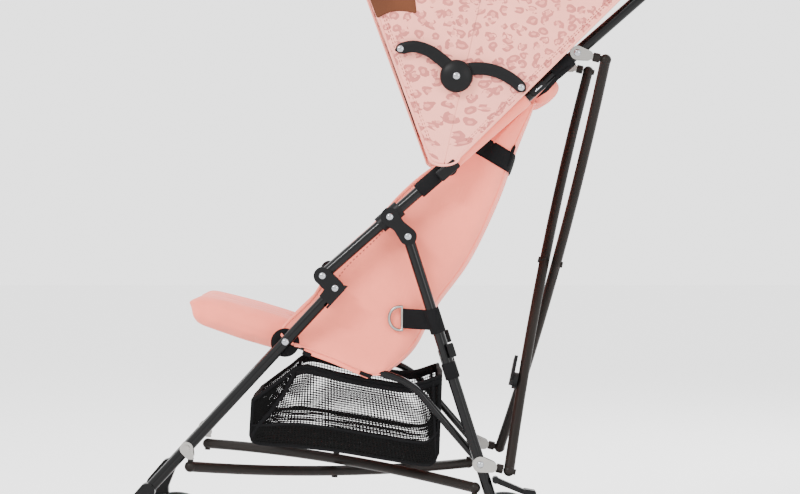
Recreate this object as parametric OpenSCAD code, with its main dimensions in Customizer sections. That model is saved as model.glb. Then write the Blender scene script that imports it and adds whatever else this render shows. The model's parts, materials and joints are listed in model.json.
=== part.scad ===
// Umbrella stroller: two side frames that fold about a knee, joined by a rear and a
// floor cross of scissor bars, with a fabric seat, leg rest, basket and canopy.
// X is across the stroller, with its own left side at +X. The front faces -Y and Z is up.

/* [Frame] */
// Height of the knee pivot above the floor
knee_z = 489; // [470:1:510]
// Place of the knee pivot along the stroller, which centres the whole on the origin
knee_y = -142; // [-160:1:-110]
// Distance between the planes of the two side frames
frame_w = 380; // [360:2:400]
// Outer diameter of the frame tubes
tube_d = 16; // [15:0.5:17]
// Wall of the frame tubes
tube_wall = 1.5; // [1:0.1:2]
// Slope of the front legs from the floor
leg_angle = 47.2; // [45:0.1:50]
// Slope of the push tubes from the floor
push_angle = 41.2; // [39:0.1:43]
// Slope of the rear legs from the floor
rear_angle = 72.4; // [70:0.1:75]

/* [Lengths] */
// Front leg, from its top bolt to its lower end
leg_length = 431; // [420:1:440]
// From the top bolt down the leg to the seat rail bolt
rail_drop = 104; // [95:1:108]
// From the top bolt down the leg to the floor cross bracket
cross_drop = 310; // [300:1:320]
// From the knee along the push tube to the hip bracket's bolt
hip_reach = 127; // [122:1:132]
// How far the rear leg's pivot hangs below the push tube
hip_offset = 38; // [34:1:42]
// From the knee along the push tube to the rear cross bracket
top_reach = 480; // [470:1:490]
// From the knee along the push tube to where the handle bends up
push_straight = 640; // [620:1:660]
// From the hip pivot down the rear leg to the rear cross bracket
rear_reach = 339; // [335:1:343]
// From the hip pivot down the rear leg to the wheel axle
axle_reach = 498; // [490:1:505]

/* [Wheels] */
// Diameter over the tyres
wheel_d = 140; // [130:1:150]
// Width of one tyre
tyre_w = 24; // [18:1:28]
// Gap between the two wheels of a pair
wheel_gap = 20; // [18:1:26]
// How far a front axle trails behind its swivel
caster_trail = 26; // [15:1:35]

/* [Cross bars] */
// Diameter of the cross bars
bar_d = 15; // [13:0.5:16]
// How far the rear cross stands behind the frame
cross_back = 42; // [38:1:50]
// How far each cross bar is bowed at its middle
bar_bow = 9; // [8.5:0.5:12]

/* [Canopy] */
// Radius of the canopy about its pivot
canopy_r = 385; // [360:1:400]
// Angle of the front bow from the floor
bow_angle = 114; // [105:1:116]
// Half the width over the canopy's sides
canopy_half_w = 211; // [208:1:220]
// Thickness of the canopy's cloth with its binding
canopy_t = 2.4; // [2:0.1:4]

/* [Soft goods] */
// Half the width over the seat's side panels
seat_half_w = 160; // [150:1:162]
// Thickness of the seat's padded cloth
pad_t = 9; // [6:0.5:12]

/* [Hidden] */
$fn = 48;

// Sagittal points are [y, z] pairs
function dir(angle) = [cos(angle), sin(angle)];
function at(p, angle, along, up = 0) = p + along * dir(angle) + up * dir(angle + 90);

half_w = frame_w / 2;
tube_r = tube_d / 2;
bolt_r = 3;
bore_r = bolt_r + 0.05;
knee = [knee_y, knee_z];
leg_top = knee + [18, -17.5];
rail_front = at(leg_top, leg_angle, -rail_drop);
floor_front = at(leg_top, leg_angle, -cross_drop);
leg_end = at(leg_top, leg_angle, -leg_length);
hip_bolt = at(knee, push_angle, hip_reach);
hip = at(knee, push_angle, hip_reach + 1, -hip_offset);
top_cross = at(knee, push_angle, top_reach);
push_end = at(knee, push_angle, push_straight);
rear_cross = at(hip, -rear_angle, rear_reach);
// The floor cross starts below its bracket and ends just ahead of the rear leg
floor_foot = at(floor_front, -80, 26.5);
floor_heel = at(hip, -rear_angle, rear_reach + 30, -17.5);
rear_axle = [at(hip, -rear_angle, axle_reach).x, wheel_d / 2];
caster = [leg_end.x + 9, leg_end.y];
front_axle = [caster.x + caster_trail, wheel_d / 2];

// The rear cross lies in a plane behind the frame, parallel to the line through its brackets
cross_slope = atan2(top_cross.y - rear_cross.y, top_cross.x - rear_cross.x);
cross_run = norm(top_cross - rear_cross);
rear_bar_len = sqrt(cross_run * cross_run + frame_w * frame_w);
rear_bar_lean = atan2(frame_w, cross_run);
floor_slope = atan2(floor_heel.y - floor_foot.y, floor_heel.x - floor_foot.x);
floor_run = norm(floor_heel - floor_foot);
floor_bar_len = sqrt(floor_run * floor_run + frame_w * frame_w);
floor_bar_lean = atan2(frame_w, floor_run);

// Layers across the stroller, measured from the middle
cheek_in = half_w + tube_r + 0.5;
cheek_t = 4.5;
rail_x = half_w - tube_r - 12.5;
rail_r = 5.5;

canopy_pivot = at(knee, push_angle, 236, -4);

module sagittal(x0, x1) {
    translate([x0, 0, 0]) rotate([90, 0, 90]) linear_extrude(x1 - x0) children();
}

module pin(p, x0, x1, r) {
    translate([x0, p.x, p.y]) rotate([0, 90, 0]) cylinder(h = x1 - x0, r = r);
}

// A rod between two points in space
module rod(a, b, r) {
    d = b - a;
    translate(a) rotate([0, acos(d.z / norm(d)), atan2(d.y, d.x)]) cylinder(h = norm(d), r = r);
}

// Two discs and the straight sides that touch both
module link_2d(a, b, ra, rb) {
    t = atan2(b.y - a.y, b.x - a.x);
    g = acos((ra - rb) / norm(b - a));
    translate(a) circle(ra);
    translate(b) circle(rb);
    polygon([a + ra * dir(t + g), b + rb * dir(t + g), b + rb * dir(t - g), a + ra * dir(t - g)]);
}

// A straight tube in a side frame, between two sagittal points
module frame_tube(a, b, r = tube_r, wall = tube_wall, x = half_w) {
    difference() {
        rod([x, a.x, a.y], [x, b.x, b.y], r);
        over = (b - a) / norm(b - a);
        rod([x, a.x - over.x, a.y - over.y], [x, b.x + over.x, b.y + over.y], r - wall);
    }
}

// Bends are drawn this much slimmer than the straight tubes, and lap into them by a few degrees
bend_slim = 0.15;

// A bend in a side frame, about the sagittal point c
module ring_arc(c, ring_r, r, from, to, x = half_w, hole = 0, lap = 3) {
    translate([x, c.x, c.y]) rotate([90, 0, 90]) rotate([0, 0, from - lap])
        rotate_extrude(angle = to - from + 2 * lap, $fn = 96) translate([ring_r, 0]) difference() {
            circle(r - bend_slim);
            if (hole > 0) circle(hole - bend_slim);
        }
}

// A bolt across a side frame with a domed head at its outer end
module bolt(p, x0, x1, head_r = 5.2, head_h = 3) {
    pin(p, x0, x1, bolt_r);
    difference() {
        translate([x1 - 1, p.x, p.y]) scale([head_h / head_r, 1, 1]) sphere(head_r);
        translate([x1 - 12, p.x - 10, p.y - 10]) cube([12, 20, 20]);
    }
}

module dome(p, x, r, h) {
    translate([x, p.x, p.y]) rotate([0, 90, 0])
        rotate_extrude() intersection() {
            translate([0, h - (r * r + h * h) / (2 * h)]) circle((r * r + h * h) / (2 * h), $fn = 96);
            square([r, h]);
        }
}

module right() { mirror([1, 0, 0]) children(); }

// ---- front frame ----
module front_leg() {
    color("#141414") difference() {
        frame_tube(at(leg_top, leg_angle, 9), leg_end);
        for (p = [leg_top, rail_front, floor_front]) pin(p, half_w - 12, half_w + 12, bore_r);
    }
}

module knee_bracket() {
    color("#181818") difference() {
        union() {
            for (x = [cheek_in, 2 * half_w - cheek_in - cheek_t]) sagittal(x, x + cheek_t) {
                link_2d(knee, leg_top, 12.5, 12);
                polygon([for (p = [[14, -11.5], [-23, -11.5], [-23, 9], [0, 11]]) at(leg_top, leg_angle, p.x, p.y)]);
            }
            // The web behind the leg ties the cheeks together
            sagittal(2 * half_w - cheek_in - 0.1, cheek_in + 0.1)
                translate(at(leg_top, leg_angle, -29, -12)) rotate(leg_angle) square([36, 3.2]);
        }
        for (p = [knee, leg_top]) pin(p, half_w - 20, half_w + 20, bore_r);
    }
}

module caster_housing() {
    color("#1a1a1a") difference() {
        union() {
            sagittal(half_w - 13, half_w + 13) {
                link_2d(at(leg_end, leg_angle, 38), caster, 11.5, 17);
                translate(caster + [-17, -14]) square([34, 14]);
            }
        }
        rod([half_w, at(leg_end, leg_angle, 80).x, at(leg_end, leg_angle, 80).y],
            [half_w, leg_end.x, leg_end.y], tube_r + 0.02);
        translate([half_w - 14, caster.x - 20, caster.y - 20]) cube([28, 40, 6]);
        translate([half_w, caster.x, caster.y - 20]) cylinder(h = 14, r = 6.05);
    }
}

module front_fasteners() {
    color("silver") {
        for (p = [knee, leg_top]) bolt(p, half_w - 14, cheek_in + cheek_t + 0.8);
        bolt(rail_front, half_w - tube_r - 0.3, half_w + tube_r + 0.8);
    }
}

// ---- upper frame ----
grip_bend_r = 90;
grip_hook_r = 36;
grip_rise = 84;
grip_bend_c = at(push_end, push_angle, 0, grip_bend_r);
grip_low = at(grip_bend_c, grip_rise - 90, grip_bend_r);
grip_mid = at(grip_low, grip_rise, 16);
grip_hook_c = at(grip_mid, grip_rise - 90, grip_hook_r);
grip_top = at(grip_hook_c, 80, grip_hook_r);

module push_tube() {
    color("#141414") difference() {
        union() {
            frame_tube(knee, push_end);
            ring_arc(grip_bend_c, grip_bend_r, tube_r, push_angle - 90, grip_rise - 90, hole = tube_r - tube_wall);
            frame_tube(grip_low, grip_mid);
            ring_arc(grip_hook_c, grip_hook_r, tube_r, 80, grip_rise + 90, hole = tube_r - tube_wall);
            frame_tube(grip_top, at(grip_top, -10, 28));
            pin(knee, half_w - tube_r, half_w + tube_r, tube_r);
        }
        for (p = [knee, hip_bolt, top_cross]) pin(p, half_w - 12, half_w + 12, bore_r);
        pin(canopy_pivot, half_w + 2, half_w + 12, bore_r);
    }
}

module hip_bracket() {
    sleeve_low = at(hip_bolt, push_angle, -19);
    sleeve_high = at(hip_bolt, push_angle, 19);
    color("#181818") difference() {
        union() {
            rod([half_w, sleeve_low.x, sleeve_low.y], [half_w, sleeve_high.x, sleeve_high.y], tube_r + 4);
            for (x = [cheek_in, 2 * half_w - cheek_in - cheek_t]) sagittal(x, x + cheek_t) {
                link_2d(hip_bolt, at(hip, push_angle, 0, 20), 13, 9);
                link_2d(at(hip, push_angle, 0, 20), hip, 9, 12.5);
            }
        }
        rod([half_w, at(sleeve_low, push_angle, -2).x, at(sleeve_low, push_angle, -2).y],
            [half_w, at(sleeve_high, push_angle, 2).x, at(sleeve_high, push_angle, 2).y], tube_r + 0.02);
        for (p = [hip_bolt, hip]) pin(p, half_w - 20, half_w + 20, bore_r);
    }
}

// The grip is moulded in rings round the tube, a hair apart, with a solid cap at its tip
module handle_grip() {
    grip_r = tube_r + 6;
    gap = 0.05;
    color("#202020") {
        ring_arc(grip_bend_c, grip_bend_r, grip_r, push_angle - 74, grip_rise - 90, hole = tube_r + 0.2, lap = -gap);
        frame_tube(at(grip_low, grip_rise, gap), at(grip_mid, grip_rise, -gap), grip_r, 5.95);
        ring_arc(grip_hook_c, grip_hook_r, grip_r, 80, grip_rise + 90, hole = tube_r + 0.2, lap = -gap);
        frame_tube(at(grip_top, -10, gap), at(grip_top, -10, 29), grip_r, 5.95);
        rod([half_w, at(grip_top, -10, 29.1).x, at(grip_top, -10, 29.1).y],
            [half_w, at(grip_top, -10, 36).x, at(grip_top, -10, 36).y], grip_r - 1);
    }
}

// The top bracket's cheeks hold a stub that points back, square to the rear cross
stub_angle = cross_slope - 90;
stub_r = 4.5;
stub_end = cross_back - bar_d / 2 - 2.6;

module top_bracket() {
    heel = at(top_cross, stub_angle, tube_r + 8);
    color("#c8c6c0") difference() {
        union() {
            for (x = [cheek_in - 0.2, 2 * half_w - cheek_in - 2.3]) sagittal(x, x + 2.5)
                link_2d(top_cross, heel, 10, 7);
            sagittal(2 * half_w - cheek_in - 0.2, cheek_in + 0.2)
                translate(at(heel, stub_angle, -1)) rotate(stub_angle) translate([0, -5]) square([4, 10]);
            rod([half_w, heel.x, heel.y],
                [half_w, at(top_cross, stub_angle, stub_end).x, at(top_cross, stub_angle, stub_end).y], stub_r);
        }
        pin(top_cross, half_w - 20, half_w + 20, bore_r);
    }
}

module upper_fasteners() {
    color("silver") {
        for (p = [hip_bolt, hip]) bolt(p, half_w - 14, cheek_in + cheek_t + 0.8);
        bolt(top_cross, half_w - 12.5, cheek_in + 3.2);
        bolt(canopy_pivot, half_w + 5, half_w + 17.5, 4.6, 2.4);
    }
}

// ---- rear frame ----
module rear_leg() {
    color("#141414") difference() {
        union() {
            frame_tube(hip, at(hip, -rear_angle, axle_reach - 14));
            pin(hip, half_w - tube_r, half_w + tube_r, tube_r);
        }
        for (p = [hip, rear_cross]) pin(p, half_w - 12, half_w + 12, bore_r);
    }
}

module axle_housing() {
    top = at(hip, -rear_angle, axle_reach - 62);
    color("#1a1a1a") difference() {
        sagittal(half_w - wheel_gap / 2 + 0.5, half_w + wheel_gap / 2 - 0.5)
            link_2d(top, rear_axle, 12, 16);
        rod([half_w, at(top, -rear_angle, -20).x, at(top, -rear_angle, -20).y],
            [half_w, at(hip, -rear_angle, axle_reach - 13.9).x, at(hip, -rear_angle, axle_reach - 13.9).y],
            tube_r + 0.02);
        pin(rear_axle, half_w - 20, half_w + 20, 4.05);
    }
}

axle_reach_x = wheel_gap / 2 + tyre_w + 1;

module rear_fasteners() {
    color("silver") {
        pin(rear_axle, half_w - axle_reach_x, half_w + axle_reach_x, 4);
        bolt(rear_cross, half_w - 12.5, cheek_in + 3.2);
    }
}

// ---- seat rail: a tube bent under the seat, on the inner side of the frame ----
rail_corner = rail_front + [179, -60];
rail_bend_r = 90;
rail_in = atan2(rail_corner.y - rail_front.y, rail_corner.x - rail_front.x);
rail_out = atan2(rear_cross.y - rail_corner.y, rear_cross.x - rail_corner.x);
rail_cut = rail_bend_r * tan((rail_in - rail_out) / 2);

module seat_rail() {
    a = at(rail_corner, rail_in, -rail_cut);
    b = at(rail_corner, rail_out, rail_cut);
    color("#161616") {
        difference() {
            union() {
                frame_tube(rail_front, a, rail_r, 1.2, rail_x);
                ring_arc(at(a, rail_in - 90, rail_bend_r), rail_bend_r, rail_r, rail_out + 90, rail_in + 90, rail_x,
                    rail_r - 1.2);
                frame_tube(b, rear_cross, rail_r, 1.2, rail_x);
                for (p = [rail_front, rear_cross]) pin(p, rail_x - rail_r, rail_x + rail_r, rail_r + 2);
            }
            for (p = [rail_front, rear_cross]) pin(p, rail_x - 8, rail_x + 8, bore_r);
        }
        // Rivets at both ends, each with a head on the inner side
        for (p = [rail_front, rear_cross]) {
            pin(p, rail_x - rail_r - 1.8, rail_x - rail_r - 0.02, 5);
            pin(p, rail_x - rail_r - 0.5, rail_x + rail_r, bolt_r);
        }
    }
}

// ---- cross bars and their knuckles ----
module rear_knuckle() {
    heel = at(rear_cross, stub_angle, tube_r + 8);
    color("#c8c6c0") difference() {
        union() {
            for (x = [cheek_in - 0.2, 2 * half_w - cheek_in - 2.3]) sagittal(x, x + 2.5)
                link_2d(rear_cross, heel, 11, 8);
            sagittal(2 * half_w - cheek_in - 0.2, cheek_in + 0.2)
                translate(at(heel, stub_angle, -1)) rotate(stub_angle) translate([0, -5]) square([4, 10]);
            rod([half_w, heel.x, heel.y],
                [half_w, at(rear_cross, stub_angle, stub_end).x, at(rear_cross, stub_angle, stub_end).y],
                stub_r);
        }
        pin(rear_cross, half_w - 20, half_w + 20, bore_r);
    }
}

// A bar along +Y, bowed towards +Z, with a boss and rivet at each end and at the middle
module bowed_bar(length, bow) {
    r = bar_d / 2;
    bow_r = (length * length / 4 + bow * bow) / (2 * bow);
    span = 2 * asin(length / 2 / bow_r);
    translate([0, length / 2, bow - bow_r]) rotate([90, 0, 90]) rotate([0, 0, 90 - span / 2])
        rotate_extrude(angle = span, $fn = 96) translate([bow_r, 0]) circle(r);
    for (y = [0, length]) {
        translate([0, y, 0]) sphere(r + 0.6);
        translate([0, y, -r - 2.2]) cylinder(h = 4, r = 4.2);
    }
    translate([0, length / 2, bow + r - 2]) cylinder(h = 4.2, r = 4.6);
}

// Sets a bar on its left foot, with +Z standing square to the cross and towards the front
module cross_place(foot, slope, lean, off) {
    p = at(foot, slope, 0, off);
    translate([half_w, p.x, p.y]) rotate([slope, 0, 0]) rotate([0, 0, lean]) children();
}

module rear_bar() {
    cross_place(rear_cross, cross_slope, rear_bar_lean, -cross_back) bowed_bar(rear_bar_len, bar_bow);
}

module rear_bar_back_at() {
    cross_place(rear_cross, cross_slope, rear_bar_lean, -cross_back)
        mirror([0, 0, 1]) bowed_bar(rear_bar_len, bar_bow);
}

module floor_bar(up) {
    cross_place(floor_foot, floor_slope, floor_bar_lean, 0)
        mirror([0, 0, up ? 0 : 1]) bowed_bar(floor_bar_len, bar_bow);
}

module floor_knuckle() {
    web = -66;
    color("#c8c6c0") difference() {
        union() {
            for (x = [cheek_in - 0.2, 2 * half_w - cheek_in - 2.3]) sagittal(x, x + 2.5)
                link_2d(floor_front, at(floor_front, web, 10), 9.5, 6);
            sagittal(2 * half_w - cheek_in - 0.2, cheek_in + 0.2)
                translate(at(floor_front, web, 12)) rotate(web) translate([0, -4.5]) square([2.7, 9]);
            // The stub that the bar is riveted to
            a = at(floor_foot, floor_slope, 0, 10.4);
            b = at(floor_foot, floor_slope, 0, 13);
            rod([half_w, a.x, a.y], [half_w, b.x, b.y], 4.5);
            pin(floor_front, half_w - 14, half_w - tube_r - 0.2, 5);
            pin(floor_front, half_w + tube_r + 0.2, half_w + 14, 5);
        }
    }
}

// ---- wheels ----
fork_t = wheel_gap - 1;

module caster_fork() {
    color("#1a1a1a") difference() {
        union() {
            translate([half_w, caster.x, caster.y - 19]) cylinder(h = 12.5, r = 6);
            translate([half_w, caster.x, caster.y - 20.5]) cylinder(h = 5.5, r = 9.4);
            sagittal(half_w - fork_t / 2, half_w + fork_t / 2)
                link_2d(caster + [0, -31], front_axle, 12, 14);
        }
        pin(front_axle, half_w - 20, half_w + 20, 4.05);
    }
    color("silver") pin(front_axle, half_w - axle_reach_x, half_w + axle_reach_x, 4);
}

module tyres(axle) {
    color("#1c1c1c") for (side = [-1, 1])
        translate([half_w + side * (wheel_gap + tyre_w) / 2, axle.x, axle.y]) rotate([0, 90, 0])
            rotate_extrude($fn = 96) difference() {
                union() {
                    translate([wheel_d / 2 - 9, -tyre_w / 2 + 3]) square([9, tyre_w - 6]);
                    translate([wheel_d / 2 - 14, -tyre_w / 2]) square([11, tyre_w]);
                    for (z = [-1, 1]) translate([wheel_d / 2 - 3, z * (tyre_w / 2 - 3)]) circle(3);
                }
            }
}

module rims(axle) {
    rim_r = wheel_d / 2 - 14.05;
    color("#2b2b2b") for (side = [-1, 1])
        translate([half_w + side * (wheel_gap + tyre_w) / 2, axle.x, axle.y]) rotate([0, 90, 0]) difference() {
            translate([0, 0, -tyre_w / 2 + 1]) cylinder(h = tyre_w - 2, r = rim_r);
            for (face = [-1, 1]) translate([0, 0, face * (tyre_w / 2 + 3)])
                rotate_extrude() translate([15, -6.5]) square([rim_r - 20, 13]);
            for (i = [0:4]) rotate(i * 72) translate([rim_r * 0.62, 0, -tyre_w]) cylinder(h = 2 * tyre_w, r = 9.5);
            translate([0, 0, -tyre_w]) cylinder(h = 2 * tyre_w, r = 4.06);
        }
}

// ---- brake, lock pedal and carrying hook ----
module brake_lever() {
    a = rear_axle + [17, 38];
    color("#b5262b") {
        sagittal(half_w - 7, half_w + 7) link_2d(a, a + [34, 10], 5.5, 3.5);
    }
}

pedal_pivot = at(rear_cross, -rear_angle, 28, 14);

module lock_pedal() {
    color("#1a1a1a") {
        pin(pedal_pivot, half_w - 11, half_w + 11, 5);
        sagittal(half_w - 8, half_w + 8) link_2d(pedal_pivot, pedal_pivot + [38, -16], 4, 3.5);
        sagittal(half_w - 12, half_w + 12) link_2d(pedal_pivot + [42, -17], pedal_pivot + [54, -18], 4.5, 3.5);
    }
}

hook_along = 145;

module transport_hook() {
    cross_place(rear_cross, cross_slope, rear_bar_lean, -cross_back)
        translate([0, hook_along, 5.2]) color("#1a1a1a") {
            translate([0, 0, bar_d / 2 + 1]) cylinder(h = 6, r = 12);
            translate([-8, -5, bar_d / 2 + 7]) cube([16, 42, 5]);
        }
}

// ---- canopy: a hood of bowed cloth about a pivot on the push tubes ----
bow_r = 3;
corner_r = 70;

// Half outline of the hood across the stroller, from the side panel up and over the top
module hood_profile(r_out, t, half = canopy_half_w) {
    difference() {
        union() {
            translate([-half + corner_r, 0]) square([2 * half - 2 * corner_r, r_out]);
            translate([-half, 0]) square([2 * half, r_out - corner_r]);
            for (s = [-1, 1]) translate([s * (half - corner_r), r_out - corner_r]) circle(corner_r, $fn = 96);
        }
        union() {
            translate([-half + corner_r, -1]) square([2 * half - 2 * corner_r, r_out - t + 1]);
            translate([-half + t, -1]) square([2 * half - 2 * t, r_out - corner_r + 1]);
            for (s = [-1, 1]) translate([s * (half - corner_r), r_out - corner_r]) circle(corner_r - t, $fn = 96);
        }
        translate([-300, -1]) square([600, 17]);
    }
}

// Turns the hood's outline about the canopy's pivot line, from one slope to another
module hood_sector(from, to, r_out, t, half = canopy_half_w) {
    translate([0, canopy_pivot.x, canopy_pivot.y]) rotate([90, 0, 90]) rotate([0, 0, from])
        rotate_extrude(angle = to - from, $fn = 96) rotate(-90) hood_profile(r_out, t, half);
}

hood_split = (push_angle + bow_angle) / 2;
hood_gap = 0.4;

module canopy_front_cloth() {
    color("#e8a9a0") hood_sector(hood_split + hood_gap, bow_angle, canopy_r, canopy_t);
}

module canopy_rear_cloth() {
    color("#e8a9a0") hood_sector(push_angle + 2, hood_split - hood_gap, canopy_r, canopy_t);
}

// A flat spring strip inside the front edge, on pivot discs beside the push tubes
module canopy_bow() {
    color("#1a1a1a") {
        hood_sector(bow_angle - 2.2, bow_angle - 0.6, canopy_r - canopy_t - 0.6, 2.6, canopy_half_w - canopy_t - 0.6);
        for (s = [0, 1]) mirror([s, 0, 0]) difference() {
            union() {
                pin(canopy_pivot, half_w + tube_r + 1, half_w + tube_r + 5.5, 11);
                sagittal(half_w + tube_r + 1, half_w + tube_r + 5.5)
                    link_2d(canopy_pivot, at(canopy_pivot, bow_angle - 1.4, 22), 8, 4);
            }
            pin(canopy_pivot, half_w, half_w + 30, bore_r);
        }
    }
}

// ---- canopy spreaders: two curved arms that meet at a round hub on each side ----
spreader_x = canopy_half_w + 4;
spreader_t = 4;
spreader_front = canopy_pivot + [-69.6, 168.1];
spreader_rear = canopy_pivot + [100.7, 113.8];
spreader_hub = canopy_pivot + [9.3, 129.7];

// An arm that curves over from its bolt and drops to the hub
module arm_2d(bolt_at, crown, shoulder) {
    link_2d(bolt_at, bolt_at + crown, 7.5, 8);
    link_2d(bolt_at + crown, bolt_at + shoulder, 8, 8.5);
    link_2d(bolt_at + shoulder, spreader_hub, 8.5, 9.5);
}

module spreader_front() {
    x = spreader_x + spreader_t + 0.6;
    color("#1a1a1a") {
        difference() {
            sagittal(x, x + spreader_t) {
                arm_2d(spreader_front, [22, 2], [56, -14]);
                translate(spreader_hub) circle(23.5);
            }
            pin(spreader_front, x - 5, x + 10, bore_r);
        }
        dome(spreader_hub, x + spreader_t, 22, 7);
    }
    color("silver") {
        pin(spreader_front, canopy_half_w + 0.3, x + spreader_t + 2, bolt_r - 0.4);
        dome(spreader_front, x + spreader_t, 5, 3);
    }
}

module spreader_rear() {
    color("#1a1a1a") difference() {
        sagittal(spreader_x, spreader_x + spreader_t) arm_2d(spreader_rear, [-19, 16], [-58, 26]);
        pin(spreader_rear, spreader_x - 5, spreader_x + 10, bore_r);
    }
    color("silver") {
        pin(spreader_rear, canopy_half_w + 0.3, spreader_x + spreader_t, bolt_r - 0.4);
        dome(spreader_rear, spreader_x + spreader_t, 5, 3);
    }
}

// ---- soft goods ----
// The back of the seat, from the hammock's lowest point up to the top, from the knee
back_line = [for (p = [[112, -136], [146, -84], [168, -46], [210, 19], [252, 122], [274, 178], [298, 232]])
    knee + p];
seat_nose = knee + [-26, -104];

module seat_back() {
    top_front = at(knee, push_angle, 366, -17);
    low_front = at(knee, push_angle, -2, -34);
    wing_foot = seat_nose + [44, 34];
    color("#e79286") difference() {
        sagittal(-seat_half_w, seat_half_w) polygon(concat(back_line, [top_front, low_front, wing_foot, knee + [60, -100]]));
        sagittal(-seat_half_w + pad_t, seat_half_w - pad_t)
            polygon(concat([for (p = back_line) p + [-pad_t, 5]], [knee + [240, 300], knee + [-200, 200],
                knee + [-200, -150]]));
    }
}

module seat_base() {
    color("#e79286") sagittal(-seat_half_w + pad_t + 2, seat_half_w - pad_t - 2)
        polygon([seat_nose, knee + [44, -133], knee + [92, -144], knee + [98, -128], knee + [50, -114],
            seat_nose + [2, 17]]);
}

module leg_rest() {
    root = seat_nose + [-6, 14];
    color("#e79286") sagittal(-seat_half_w + 15, seat_half_w - 15)
        polygon([root, at(root, 167, 172), at(root, 167, 176, -10), at(root, 167, 170, -20), at(root, 167, 0, -18)]);
}

module basket() {
    half = seat_half_w - 8;
    skin = 3;
    low_front = knee + [-97, -243];
    low_back = knee + [160, -275];
    high_back = knee + [168, -164];
    high_front = knee + [-28, -134];
    outer = [low_front, low_back, high_back, knee + [54, -152], high_front, knee + [-99, -210]];
    inner = [low_front + [skin, skin], low_back + [-skin, skin], high_back + [-skin, 20], high_front + [4, 40],
        high_front + [skin, 0], knee + [-95, -210]];
    color("#2c2c2c") difference() {
        sagittal(-half, half) polygon(outer);
        sagittal(-half + skin, half - skin) polygon(inner);
    }
}

front_leg();  // left_front_leg
knee_bracket();  // left_knee_bracket
caster_housing();  // left_caster_housing
front_fasteners();  // left_front_fasteners
right() front_leg();  // right_front_leg
right() knee_bracket();  // right_knee_bracket
right() caster_housing();  // right_caster_housing
right() front_fasteners();  // right_front_fasteners
push_tube();  // left_push_tube
hip_bracket();  // left_hip_bracket
handle_grip();  // left_handle_grip
top_bracket();  // left_top_bracket
upper_fasteners();  // left_upper_fasteners
right() push_tube();  // right_push_tube
right() hip_bracket();  // right_hip_bracket
right() handle_grip();  // right_handle_grip
right() top_bracket();  // right_top_bracket
right() upper_fasteners();  // right_upper_fasteners
rear_leg();  // left_rear_leg
axle_housing();  // left_axle_housing
rear_fasteners();  // left_rear_fasteners
right() rear_leg();  // right_rear_leg
right() axle_housing();  // right_axle_housing
right() rear_fasteners();  // right_rear_fasteners
seat_rail();  // left_seat_rail
right() seat_rail();  // right_seat_rail
rear_knuckle();  // left_rear_knuckle
right() rear_knuckle();  // right_rear_knuckle
floor_knuckle();  // left_floor_knuckle
right() floor_knuckle();  // right_floor_knuckle
color("#2a2623") rear_bar();  // rear_bar_front
color("#2a2623") mirror([1, 0, 0]) rear_bar_back_at();  // rear_bar_back
color("#2a2623") floor_bar(false);  // floor_bar_lower
color("#2a2623") mirror([1, 0, 0]) floor_bar(true);  // floor_bar_upper
caster_fork();  // left_caster_fork
tyres(front_axle);  // left_front_tyres
rims(front_axle);  // left_front_rims
right() caster_fork();  // right_caster_fork
right() tyres(front_axle);  // right_front_tyres
right() rims(front_axle);  // right_front_rims
tyres(rear_axle);  // left_rear_tyres
rims(rear_axle);  // left_rear_rims
right() tyres(rear_axle);  // right_rear_tyres
right() rims(rear_axle);  // right_rear_rims
brake_lever();  // left_brake_lever
right() brake_lever();  // right_brake_lever
lock_pedal();
transport_hook();
canopy_bow();
canopy_front_cloth();
canopy_rear_cloth();
spreader_front();  // left_spreader_front
spreader_rear();  // left_spreader_rear
right() spreader_front();  // right_spreader_front
right() spreader_rear();  // right_spreader_rear
seat_back();
seat_base();
leg_rest();
basket();
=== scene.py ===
"""Umbrella stroller: the looks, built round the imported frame. Metres, +Z up, -Y the front."""
import json
import math

import bpy
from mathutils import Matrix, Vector


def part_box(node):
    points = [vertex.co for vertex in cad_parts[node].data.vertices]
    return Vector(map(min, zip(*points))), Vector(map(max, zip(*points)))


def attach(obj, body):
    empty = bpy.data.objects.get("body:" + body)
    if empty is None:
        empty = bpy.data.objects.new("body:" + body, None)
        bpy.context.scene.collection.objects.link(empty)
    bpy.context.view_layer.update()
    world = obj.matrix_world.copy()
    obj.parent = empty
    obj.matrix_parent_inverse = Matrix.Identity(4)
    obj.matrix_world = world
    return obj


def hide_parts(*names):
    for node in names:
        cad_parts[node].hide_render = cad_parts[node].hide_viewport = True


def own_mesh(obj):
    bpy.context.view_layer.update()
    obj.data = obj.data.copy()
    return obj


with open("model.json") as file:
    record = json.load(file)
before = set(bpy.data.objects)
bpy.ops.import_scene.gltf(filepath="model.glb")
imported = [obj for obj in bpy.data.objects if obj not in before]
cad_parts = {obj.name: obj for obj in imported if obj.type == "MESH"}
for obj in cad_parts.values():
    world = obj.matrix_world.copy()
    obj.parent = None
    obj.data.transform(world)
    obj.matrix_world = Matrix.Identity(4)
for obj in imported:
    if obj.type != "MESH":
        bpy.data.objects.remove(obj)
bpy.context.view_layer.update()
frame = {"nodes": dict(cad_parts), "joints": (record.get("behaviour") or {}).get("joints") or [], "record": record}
joints = {j["name"]: j for j in frame["joints"]}
scene = bpy.context.scene


def pivot(name):
    """Where a joint's axis stands in the side view, as (y, z)."""
    p = joints[name]["pos_m"]
    return Vector((p[1], p[2]))


KNEE, HIP = pivot("fold"), pivot("left_rear_leg_hinge")
RAIL, CROSS = pivot("left_rail_hinge"), pivot("left_rear_knuckle_hinge")
HOOD = pivot("canopy_fold")
HALF = joints["fold"]["pos_m"][0]
TUBE_R = 0.008
PUSH, REAR = math.radians(41.2), math.radians(-72.4)


def along(p, angle, run, up=0.0):
    c, s = math.cos(angle), math.sin(angle)
    return Vector((p[0] + run * c - up * s, p[1] + run * s + up * c))


def at_push(run, up=0.0):
    return along(KNEE, PUSH, run, up)


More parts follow.
